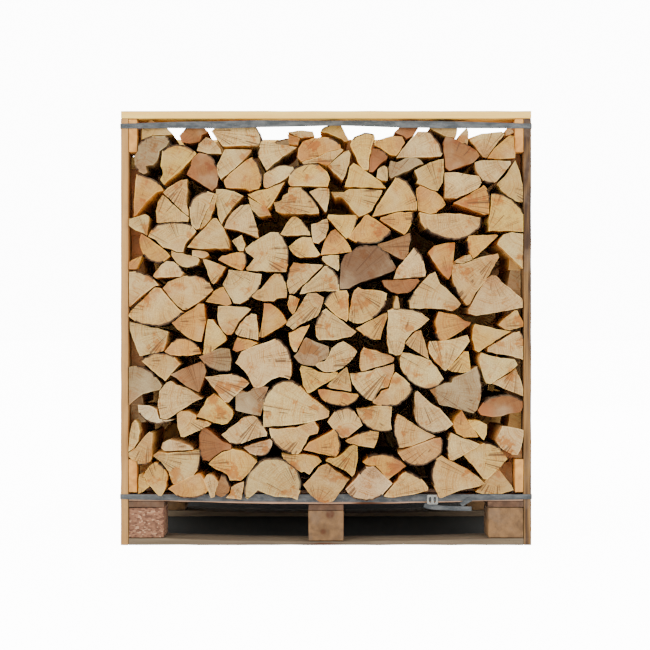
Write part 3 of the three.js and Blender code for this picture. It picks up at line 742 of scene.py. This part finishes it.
        [(-208, 248), (-192, 234), (-176, 228, 2), (-152, 230, 2), (-140, 246), (-136, 264), (-142, 269),
         (-176, 258)],
        [(49, 144), (62, 128, 3), (88, 117, 3), (124, 120, 2), (142, 130), (154, 144), (167, 158),
         (142, 182), (120, 201), (101, 199, 2), (84, 182), (70, 164)],
        [(430, 264), (442, 247), (472, 229), (484, 230), (494, 252), (499, 278), (499, 292), (472, 298),
         (446, 302), (440, 288)],
    ],
    "peach": [
        [(181, 236), (196, 215, 3), (230, 202, 3), (262, 211, 2), (286, 228, 3), (294, 252, 2), (290, 273),
         (272, 271), (236, 257), (200, 244)],
    ],
    "brown": [
        [(-394, 432), (-378, 424), (-352, 402), (-322, 388), (-315, 405), (-308, 425), (-303, 440),
         (-308, 458), (-316, 465), (-336, 457), (-372, 442)],
        [(-277, 130), (-265, 124), (-256, 127), (-245, 136), (-243, 150, 2), (-252, 172, 2), (-264, 178),
         (-272, 160)],
        [(131, 753), (152, 744), (182, 728), (198, 723), (208, 740), (212, 765, 2), (213, 790), (198, 784),
         (172, 774), (131, 762)],
    ],
    "chalky": [
        [(-474, 356), (-472, 336, 2), (-456, 317, 3), (-420, 308, 2), (-384, 319), (-402, 317),
         (-421, 320), (-428, 344), (-446, 354)],
    ],
    "dark": [
        [(36, 648), (58, 650), (88, 666), (120, 676), (160, 690), (172, 696), (177, 702), (166, 722, 4),
         (142, 748, 5), (112, 757, 3), (78, 754), (62, 741), (48, 735), (38, 712), (36, 680)],
    ],
}

tones = {
    "pale": (248, 218, 144),
    "tan": (236, 200, 118),
    "orange": (238, 182, 84),
    "russet": (160, 106, 54),
    "yellow": (250, 208, 108),
    "grey": (178, 158, 116),
    "pink": (240, 208, 148),
    "peach": (244, 198, 118),
    "brown": (172, 128, 78),
    "chalky": (240, 224, 172),
    "dark": (112, 90, 66),
}


def build_cut_end():
    """Sawn end grain: year rings and rays round the pith, a warmer heart, checks, blots and saw marks."""
    group, given, result = new_group(
        "cut_end",
        [
            ("From Pith", "Vector"),
            ("Place", "Vector"),
            ("Tint", "Color"),
            ("Heart", "Float"),
            ("Rim Shade", "Float"),
        ],
        [("Color", "Color"), ("Height", "Float")],
    )
    pith = given["From Pith"]
    place = given["Place"]
    reach = put(group, "VectorMath", {0: pith}, operation="LENGTH").outputs["Value"]
    outwards = put(group, "VectorMath", {0: pith}, operation="NORMALIZE").outputs[0]
    wander = noise_at(group, pith, (22.0, 22.0, 22.0), 2.0)
    year = sum_of(group, sum_of(group, reach, 1150.0, "MULTIPLY"), sum_of(group, wander, 26.0, "MULTIPLY"))
    fine_rings = put(group, "Math", {0: year}, operation="SINE").outputs[0]
    warped = put(group, "CombineXYZ", {"X": sum_of(group, reach, sum_of(group, wander, 0.03, "MULTIPLY"))})
    wide_rings = step_up(group, noise_at(group, warped.outputs[0], (210.0, 1.0, 1.0), 3.0, 0.7), 0.42, 0.6)
    rings = sum_of(group, sum_of(group, fine_rings, 0.2, "MULTIPLY"), wide_rings)
    strong = step_up(group, noise_at(group, pith, (30.0, 30.0, 30.0), 2.0), 0.3, 0.6)
    rays = noise_at(group, outwards, (24.0, 24.0, 24.0), 4.0, 0.75)
    blots = noise_at(group, place, (16.0, 2.0, 16.0), 3.0, 0.5)
    marks = noise_at(group, place, (70.0, 1.0, 900.0), 2.0, 0.5)
    pores = noise_at(group, place, (700.0, 50.0, 700.0), 2.0, 0.6)
    tint = given["Tint"]
    deep = mixed(group, 1.0, tint, srgb(206, 162, 108), "MULTIPLY")
    ring_share = sum_of(group, sum_of(group, rings, strong, "MULTIPLY"), 0.75, "MULTIPLY")
    colour = mixed(group, ring_share, tint, deep)
    colour = mixed(group, sum_of(group, step_up(group, rays, 0.46, 0.62), 0.5, "MULTIPLY"), colour, deep)
    stain = noise_at(group, place, (19.0, 2.0, 19.0), 5.0, 0.68)
    stained = mixed(group, 1.0, tint, srgb(206, 144, 66), "MULTIPLY")
    colour = mixed(group, sum_of(group, step_up(group, stain, 0.55, 0.62), 0.85, "MULTIPLY"), colour, stained)
    colour = mixed(group, sum_of(group, step_up(group, blots, 0.5, 0.8), 0.4, "MULTIPLY"), colour, deep)
    light = mixed(group, 0.35, tint, srgb(255, 236, 184))
    colour = mixed(group, sum_of(group, step_up(group, blots, 0.5, 0.25), 0.7, "MULTIPLY"), colour, light)
    grain = sum_of(group, step_up(group, pores, 0.45, 0.7), 0.22, "MULTIPLY")
    colour = mixed(group, grain, colour, srgb(150, 108, 74))
    heart_zone = step_up(group, sum_of(group, reach, sum_of(group, wander, 0.03, "MULTIPLY")), 0.062, 0.028)
    heart_share = sum_of(group, heart_zone, given["Heart"], "MULTIPLY")
    colour = mixed(group, heart_share, colour, srgb(186, 112, 60))
    split_place = noise_at(group, outwards, (9.0, 9.0, 9.0), 1.0)
    check_gap = put(group, "Math", {0: sum_of(group, split_place, -0.56)}, operation="ABSOLUTE").outputs[0]
    check_line = step_up(group, check_gap, 0.036, 0.014)
    check = sum_of(group, check_line, step_up(group, blots, 0.5, 0.55), "MULTIPLY")
    colour = mixed(group, sum_of(group, check, 0.85, "MULTIPLY"), colour, srgb(70, 44, 28))
    # Painted shade: the sawn end darkens towards its rim, broken up by the pores.
    rim_shade_share = sum_of(group, sum_of(group, given["Rim Shade"], pores, "MULTIPLY"), 0.95, "MULTIPLY")
    colour = mixed(group, rim_shade_share, colour, srgb(104, 72, 48))
    group.links.new(colour, result["Color"])
    height = sum_of(group, sum_of(group, marks, 0.5, "MULTIPLY"), sum_of(group, pores, 0.3, "MULTIPLY"))
    height = sum_of(group, height, sum_of(group, rings, 0.12, "MULTIPLY"))
    group.links.new(sum_of(group, height, check, "SUBTRACT"), result["Height"])
    return group


def build_end_finish():
    finish, tree, surface, spot = new_finish("log_sawn_end")
    cut = put(tree, "Group", node_tree=build_cut_end())
    pith = put(tree, "Attribute", attribute_name="from_pith").outputs["Vector"]
    tint = put(tree, "Attribute", attribute_name="tint").outputs
    rim_shade = put(tree, "Attribute", attribute_name="rim_shade").outputs["Fac"]
    tree.links.new(pith, cut.inputs["From Pith"])
    tree.links.new(spot, cut.inputs["Place"])
    tree.links.new(tint["Color"], cut.inputs["Tint"])
    tree.links.new(tint["Alpha"], cut.inputs["Heart"])
    tree.links.new(rim_shade, cut.inputs["Rim Shade"])
    colour = dirtied(tree, spot, cut.outputs["Color"], 0.1, 0.22)
    cover(tree, surface, colour, 0.85, 0.2, cut.outputs["Height"], 0.6, 0.0011)
    return finish


def build_split_finish():
    finish, tree, surface, spot = new_finish("log_split_side")
    along = put(tree, "Mapping", {"Vector": spot, "Rotation": along_y}, vector_type="POINT").outputs[0]
    tint = put(tree, "Attribute", attribute_name="tint").outputs["Color"]
    grain = put(tree, "Group", node_tree=grain_group)
    tree.links.new(along, grain.inputs["Along"])
    tree.links.new(mixed(tree, 1.0, tint, srgb(255, 238, 212), "MULTIPLY"), grain.inputs["Pale"])
    tree.links.new(mixed(tree, 1.0, tint, srgb(210, 168, 124), "MULTIPLY"), grain.inputs["Dark"])
    grain.inputs["Contrast"].default_value = 1.2
    grain.inputs["Knots"].default_value = 0.5
    colour = dirtied(tree, spot, grain.outputs["Color"], 0.3, 0.35)
    cover(tree, surface, colour, 0.88, 0.2, grain.outputs["Height"], 0.9, 0.003)
    return finish


def build_bark_finish():
    finish, tree, surface, spot = new_finish("log_bark")
    ridges = noise_at(tree, spot, (95.0, 16.0, 95.0), 5.0, 0.65)
    crust = noise_at(tree, spot, (320.0, 240.0, 320.0), 3.0, 0.6)
    lichen = noise_at(tree, spot, (14.0, 14.0, 14.0), 4.0, 0.6)
    colour = mixed(tree, step_up(tree, ridges, 0.36, 0.66), srgb(44, 31, 23), srgb(104, 80, 60))
    crust_share = sum_of(tree, step_up(tree, crust, 0.5, 0.7), 0.4, "MULTIPLY")
    colour = mixed(tree, crust_share, colour, srgb(92, 68, 50))
    lichen_share = sum_of(tree, step_up(tree, lichen, 0.54, 0.68), 0.4, "MULTIPLY")
    colour = mixed(tree, lichen_share, colour, srgb(116, 112, 90))
    height = sum_of(tree, ridges, sum_of(tree, crust, 0.3, "MULTIPLY"))
    cover(tree, surface, colour, 0.95, 0.08, height, 1.0, 0.004)
    return finish


log_finishes = [build_end_finish(), build_split_finish(), build_bark_finish()]
end_slot, split_slot, bark_slot = range(3)
post_room = 0.4992
slat_room = 0.4775
slat_zone_low = 0.2185
slat_zone_high = 0.9945
deck_top = 0.130
strap_top = 0.1305


def side_room(z):
    """How far out a log may reach at this height: to the slats, or between them to the posts."""
    return slat_room if z < slat_zone_low or z > slat_zone_high else post_room


def deck_line(x):
    return deck_top + sag_at(x)


def strap_line(x):
    return strap_top + sag_at(x)


def trunk_middle(points, bulges, rng):
    """Where the pith was: near the corner farthest from the bark, or from the longest side."""
    count = len(points)
    spans = [(points[i] - points[(i + 1) % count]).length for i in range(count)]
    weights = [(bulges[i] > 0, spans[i]) for i in range(count)]
    outer = max(range(count), key=lambda i: weights[i])
    middle = (points[outer] + points[(outer + 1) % count]) / 2
    apex = max(points, key=lambda point: (point - middle).length)
    return apex + (apex - middle) * rng.uniform(-0.12, 0.18)


section_stops = (0.032, 0.3, 0.62, 0.97, 1.0)
strap_front = -0.6021
deck_front = -0.5995
bark_step = 0.009
split_step = 0.014
palest_shade = 1.06


def add_log(group, corners, tone, front, back, rng, bark_share=0.0):
    """One split log into group, its sawn end at front and its far end at back."""
    log = bmesh.new()
    from_pith = log.verts.layers.float_vector.new("from_pith")
    tint = log.verts.layers.float_color.new("tint")
    rim_shade = log.verts.layers.float.new("rim_shade")
    barked = log.verts.layers.int.new("barked")
    points = [Vector((corner[0] / 1000, 0.0, corner[1] / 1000)) for corner in corners]
    bulges = [corner[2] / 1000 if len(corner) > 2 else 0.0 for corner in corners]
    count = len(points)
    if not any(bulges) and rng.random() < bark_share:
        longest = max(range(count), key=lambda i: (points[i] - points[(i + 1) % count]).length)
        bulges[longest] = 0.002
    pith = trunk_middle(points, bulges, rng)
    end = log.faces.new([log.verts.new((point.x, front, point.z)) for point in points])
    lines = [loop.edge for loop in end.loops]
    starts = [loop.vert for loop in end.loops]
    for i, line in enumerate(lines):
        near, last = starts[i], starts[(i + 1) % count]
        span = points[(i + 1) % count] - points[i]
        outwards = Vector((span.z, 0.0, -span.x)).normalized()
        if bulges[i]:
            near[barked] = last[barked] = 1
        cuts = min(9, int(span.length / (bark_step if bulges[i] else split_step)))
        for cut in range(1, cuts + 1):
            share = cut / (cuts + 1)
            near = bmesh.utils.edge_split(line, near, 1 / (cuts + 2 - cut))[1]
            line = next(part for part in near.link_edges if part.other_vert(near) == last)
            jag = rng.gauss(0.0, 0.0008 if bulges[i] else 0.0006)
            near.co = points[i] + span * share + outwards * (bulges[i] * 4 * share * (1 - share) + jag)
            near.co.y = front
            near[barked] = int(bulges[i] > 0)
    centre = sum((vert.co for vert in log.verts), Vector()) / len(log.verts)
    bearing = Vector((rng.gauss(0, 0.004), 0.0, rng.gauss(0, 0.003)))
    taper = rng.uniform(0.90, 0.99)
    size = math.sqrt(end.calc_area())
    far_end = end
    stop_before, spread_before = 0.0, 1.0
    for stop in section_stops:
        last_end = far_end
        made = bmesh.ops.extrude_face_region(log, geom=[last_end], use_keep_orig=True)["geom"]
        far_end = next(item for item in made if isinstance(item, bmesh.types.BMFace))
        if last_end is not end:
            log.faces.remove(last_end)
        spread = 1 + (taper - 1) * stop
        for vert in far_end.verts:
            wobble = 0.0011 if vert[barked] else 0.0007
            vert.co = centre + (vert.co - centre) * (spread / spread_before) + bearing * (stop - stop_before)
            vert.co.x += rng.gauss(0, wobble)
            vert.co.z += rng.gauss(0, wobble)
            vert.co.y = front + (back - front) * stop
        stop_before, spread_before = stop, spread
    tilt = Vector((rng.gauss(0, 0.025), rng.gauss(0, 0.02)))
    bark_depth = 0.0034 if max(bulges) > 0.0025 else 0.0022
    sawn = set()
    for cap, inwards in ((end, 1), (far_end, -1)):
        outer = list(cap.verts)
        ring = bmesh.ops.inset_region(
            log, faces=[cap], thickness=min(bark_depth, 0.07 * size), use_even_offset=True, use_boundary=True
        )["faces"]
        # The outer ring of each end is marked for the painted rim shade, and set back a little.
        for vert in outer:
            vert[rim_shade] = 1.0
            vert.co.y += inwards * (0.0009 + abs(rng.gauss(0, 0.0004)))
        for vert in set(outer) | set(cap.verts):
            vert.co.y += (vert.co.x - centre.x) * tilt.x + (vert.co.z - centre.z) * tilt.y
        cap.material_index = end_slot
        for face in ring:
            edge_verts = [vert for vert in face.verts if vert in outer]
            face.material_index = bark_slot if all(vert[barked] for vert in edge_verts) else end_slot
        sawn.update(ring, [cap])
    for face in log.faces:
        if face not in sawn:
            face.material_index = bark_slot if all(vert[barked] for vert in face.verts) else split_slot
        face.smooth = True
    heart = rng.choice((0.0, 0.0, 0.1, 0.25, 0.45)) + (0.35 if tone in ("orange", "russet", "peach") else 0.0)
    shade = rng.uniform(0.84, palest_shade)
    set_in = (palest_shade - shade) * 0.012
    warmth = rng.uniform(0.96, 1.04)
    red, green, blue, _ = srgb(*tones[tone])
    for vert in log.verts:
        place = vert.co
        room = side_room(place.z) - set_in
        place.x = max(-room, min(room, place.x))
        if place.y > strap_front:
            bed = deck_line(place.x) if place.y > deck_front else strap_line(place.x)
            place.z = max(place.z, bed)
        vert[from_pith] = (place.x - pith.x, 0.0, place.z - pith.z)
        vert[tint] = (red * shade, green * shade * warmth, blue * shade / warmth, heart)
    bmesh.ops.recalc_face_normals(log, faces=log.faces)
    for line in log.edges:
        line.smooth = line.calc_face_angle(0.0) < 0.6
    pour(log, group)


def overhangs(corners):
    return any(corner[1] / 1000 < strap_line(corner[0] / 1000) for corner in corners)


# Front row: every log of it in its own place, the low ones hanging out over the strap and the top
# ones kept behind it. Logs of about the same height make one piece.
rows_front = -0.612
row_pitch = 0.932 / 3
row_length = 0.292
strap_zone = 1.047
hanging_front = -0.6145
over_strap = (-0.611, -0.602)
behind_strap = (-0.598, -0.594)
side_front = -0.560
filler_back = -0.330


def band_of(height, edges):
    return next(i for i, edge in enumerate(edges[1:]) if height < edge)


def fill_sides(bands, edges, front, back, rng):
    """Thin split pieces pushed in beside the posts, a little way back, wherever there is room."""
    for side in (-1, 1):
        low = 0.140
        while low < 1.0:
            high = low + rng.uniform(0.035, 0.065)
            wall = 1000 * (side_room((low + high) / 2) - 0.0015)
            outline = [(wall, low * 1000), (wall, high * 1000 + 4)]
            outline.append((wall - rng.uniform(24, 34), high * 1000 + 2))
            outline.append((wall - rng.uniform(28, 40), low * 1000 + 2))
            tone = rng.choice(("tan", "brown", "russet", "grey"))
            corners = [(side * x, z) for x, z in outline]
            add_log(bands[band_of(high, edges)], corners, tone, front, back, rng)
            low = high


front_rng = random.Random(41)
band_edges = [0.115, 0.19, 0.265, 0.34, 0.42, 0.50, 0.58, 0.66, 0.74, 0.82, 0.90, 0.98, 1.10]
front_bands = [bmesh.new() for _ in band_edges[1:]]
for tone, ends in log_ends.items():
    for corners in ends:
        heights = [corner[1] / 1000 for corner in corners]
        middle = sum(heights) / len(heights)
        if overhangs(corners):
            front = hanging_front
        elif max(heights) > strap_zone:
            front = front_rng.uniform(*behind_strap)
        else:
            front = front_rng.uniform(*over_strap)
        back = rows_front + row_length - front_rng.uniform(0.0, 0.012)
        add_log(front_bands[band_of(middle, band_edges)], corners, tone, front, back, front_rng)
fill_sides(front_bands, band_edges, side_front, filler_back, front_rng)

# Two more pieces pushed in behind gaps: left, right, low and high in millimetres, then the front.
pushed_in = (
    (145, 200, 572, 628, -0.500),
    (446, 497, 221, 262, -0.590),
)
for left, right, low, high, front in pushed_in:
    outline = [(left, low), (right, low), (right, high), (left, high)]
    band = band_of((low + high) / 2000, band_edges)
    add_log(front_bands[band], outline, "brown", front, filler_back, front_rng)
top_nodes = [f"top_log_{i + 1}" for i in range(16)]
for i, shape in enumerate(front_bands):
    nodes = ["log_row_front"] + (top_nodes if i >= len(front_bands) - 2 else [])
    add_piece(f"logs_front_{i + 1}", shape, log_finishes, "log_wood", *nodes)


# Rows behind: three more rows of the same split logs, the middle two stacked in other orders, all
# grown a little and packed tighter, so that no daylight comes through.
stack_low = 130
stack_high = 1050


def turned(corners):
    bulges = [corner[2] if len(corner) > 2 else 0 for corner in corners]
    return [(-corners[i][0], corners[i][1], bulges[i - 1]) for i in reversed(range(len(corners)))]


def upside_down(corners):
    bulges = [corner[2] if len(corner) > 2 else 0 for corner in corners]
    flip = stack_low + stack_high
    return [(-corner[0], flip - corner[1], bulge) for corner, bulge in zip(corners, bulges)]


def swollen(corners, growth):
    middle = [sum(corner[axis] for corner in corners) / len(corners) for axis in (0, 1)]
    return [(*(middle[axis] + (c[axis] - middle[axis]) * growth for axis in (0, 1)), *c[2:]) for c in corners]


tone_counts = {"pale": 6, "tan": 5, "yellow": 3, "orange": 2, "grey": 1, "pink": 1, "brown": 1, "russet": 1}
tone_names = [tone for tone, count in tone_counts.items() for _ in range(count)]
rear_rng = random.Random(57)
rear_rise = 0.970
rear_bark_share = 0.6
rear_rows = (
    ("log_row_middle_1", 1, upside_down, 1.18, [0.0, 1.10]),
    ("log_row_middle_2", 2, turned, 1.18, [0.0, 1.10]),
    ("log_row_back", 3, list, 1.03, [0.0, 0.36, 0.60, 0.84, 1.10]),
)
for node, row, arranged, growth, edges in rear_rows:
    bands = [bmesh.new() for _ in edges[1:]]
    row_front = rows_front + row * row_pitch
    for ends in log_ends.values():
        for corners in ends:
            lowered = [(c[0], stack_low + (c[1] - stack_low) * rear_rise, *c[2:]) for c in corners]
            placed = swollen(arranged(lowered), growth)
            middle = sum(corner[1] for corner in placed) / len(placed) / 1000
            front = row_front + rear_rng.uniform(0.0, 0.008)
            back = row_front + row_length - rear_rng.uniform(0.0, 0.012)
            tone = rear_rng.choice(tone_names)
            add_log(bands[band_of(middle, edges)], placed, tone, front, back, rear_rng, rear_bark_share)
    fill_sides(bands, edges, row_front + 0.008, row_front + row_length - 0.012, rear_rng)
    for i, shape in enumerate(bands):
        name = node.replace("log_row", "logs") + (f"_{i + 1}" if len(bands) > 1 else "")
        add_piece(name, shape, log_finishes, "log_wood", node)


# Straps: two blue-grey polypropylene bands, embossed, pulled tight round the posts. The upper
# one twists over between the posts; the lower one follows the bent pallet.
def build_strap_finish():
    finish, tree, surface, spot = new_finish("strap_plastic")
    worn = noise_at(tree, spot, (30.0, 30.0, 90.0), 4.0, 0.6)
    colour = mixed(tree, step_up(tree, worn, 0.35, 0.7), srgb(60, 64, 66), srgb(96, 98, 98))
    dust = step_up(tree, noise_at(tree, spot, (240.0, 240.0, 240.0), 2.0), 0.6, 0.75)
    colour = mixed(tree, sum_of(tree, dust, 0.35, "MULTIPLY"), colour, srgb(140, 134, 124))
    slanted = []
    for slant in (1.0, -1.0):
        aslant = put(tree, "VectorMath", {0: spot, 1: (1.0, 1.0, slant)}, operation="DOT_PRODUCT")
        stretched = sum_of(tree, aslant.outputs["Value"], 3600.0, "MULTIPLY")
        slanted.append(put(tree, "Math", {0: stretched}, operation="SINE").outputs[0])
    cover(tree, surface, colour, 0.55, 0.3, sum_of(tree, *slanted, "MAXIMUM"), 0.5, 0.0003)
    return finish


def copied_solid(node):
    """The node's own surface as one closed skin with flat sides."""
    solid = bmesh.new()
    solid.from_mesh(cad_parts[node].data)
    bmesh.ops.remove_doubles(solid, verts=solid.verts, dist=1e-5)
    bmesh.ops.recalc_face_normals(solid, faces=solid.faces)
    return solid


strap_finish = build_strap_finish()
run_face = -0.6003
run_steps = 72
run_half = 0.52
band_half_thickness = 0.0005
twist_middle = 0.02
twist_reach = 0.34
# Height of the run's middle line, how far it twists in radians, and how far it bows up or down.
strap_runs = {"strap_top": (1.061, 0.85, 0.009), "strap_bottom": (0.1235, 0.0, -0.008)}
for node, (height, twist, bow) in strap_runs.items():
    band = copied_solid(node)
    for i in range(1, run_steps):
        place = Vector((-run_half + 2 * run_half * i / run_steps, 0.0, 0.0))
        front_limit = run_face + band_half_thickness
        front_faces = [face for face in band.faces if face.calc_center_median().y < front_limit]
        around = {item for face in front_faces for item in (*face.verts, *face.edges)}
        bmesh.ops.bisect_plane(
            band, geom=list(around) + front_faces, dist=1e-6, plane_co=place, plane_no=(1.0, 0.0, 0.0)
        )
    for vert in band.verts:
        if vert.co.y < run_face + 0.0004:
            across = vert.co.x / run_half
            room = max(0.0, 1 - across * across)
            middle = height + bow * room
            ripple = 0.0012 * noise.noise(Vector((vert.co.x * 9, height * 3, 0.0))) * room
            swing = twist * max(0.0, 1 - abs(vert.co.x - twist_middle) / twist_reach)
            rise = vert.co.z - middle
            core = run_face - band_half_thickness
            depth = vert.co.y - core
            turned_rise = rise * math.cos(swing) - depth * math.sin(swing)
            turned_depth = depth * math.cos(swing) + rise * math.sin(swing)
            vert.co.z = middle + ripple + turned_rise
            vert.co.y = core + turned_depth - abs(math.sin(swing)) * 0.006
    bmesh.ops.recalc_face_normals(band, faces=band.faces)
    add_piece(f"{node}_band", band, [strap_finish], "strap", node)


# Buckle and tails: a small steel buckle joins the lower strap's ends; one end hangs out to the
# right and a short one sticks up beside it.
def build_steel_finish():
    finish, tree, surface, spot = new_finish("buckle_steel")
    patches = noise_at(tree, spot, (130.0, 130.0, 130.0), 4.0, 0.6)
    colour = mixed(tree, step_up(tree, patches, 0.4, 0.62), srgb(132, 132, 130), srgb(160, 160, 150))
    rust = step_up(tree, noise_at(tree, spot, (90.0, 90.0, 90.0), 5.0, 0.7), 0.58, 0.66)
    colour = mixed(tree, rust, colour, srgb(168, 104, 52))
    tree.links.new(colour, surface.inputs["Base Color"])
    tree.links.new(sum_of(tree, sum_of(tree, rust, 0.4, "MULTIPLY"), 0.38), surface.inputs["Roughness"])
    tree.links.new(sum_of(tree, 0.85, rust, "SUBTRACT"), surface.inputs["Metallic"])
    return finish


buckle_shape = copied_solid("buckle")
rims = [line for line in buckle_shape.edges if line.calc_face_angle(0.0) > 1.2]
bmesh.ops.bevel(buckle_shape, geom=rims, offset=0.0006, segments=2, profile=0.5, affect="EDGES", material=-1)
add_piece("strap_buckle", buckle_shape, [build_steel_finish()], "buckle_steel", "buckle")
for node in ("tail_long", "tail_short"):
    add_piece(f"strap_{node}", copied_solid(node), [strap_finish], "strap", node)
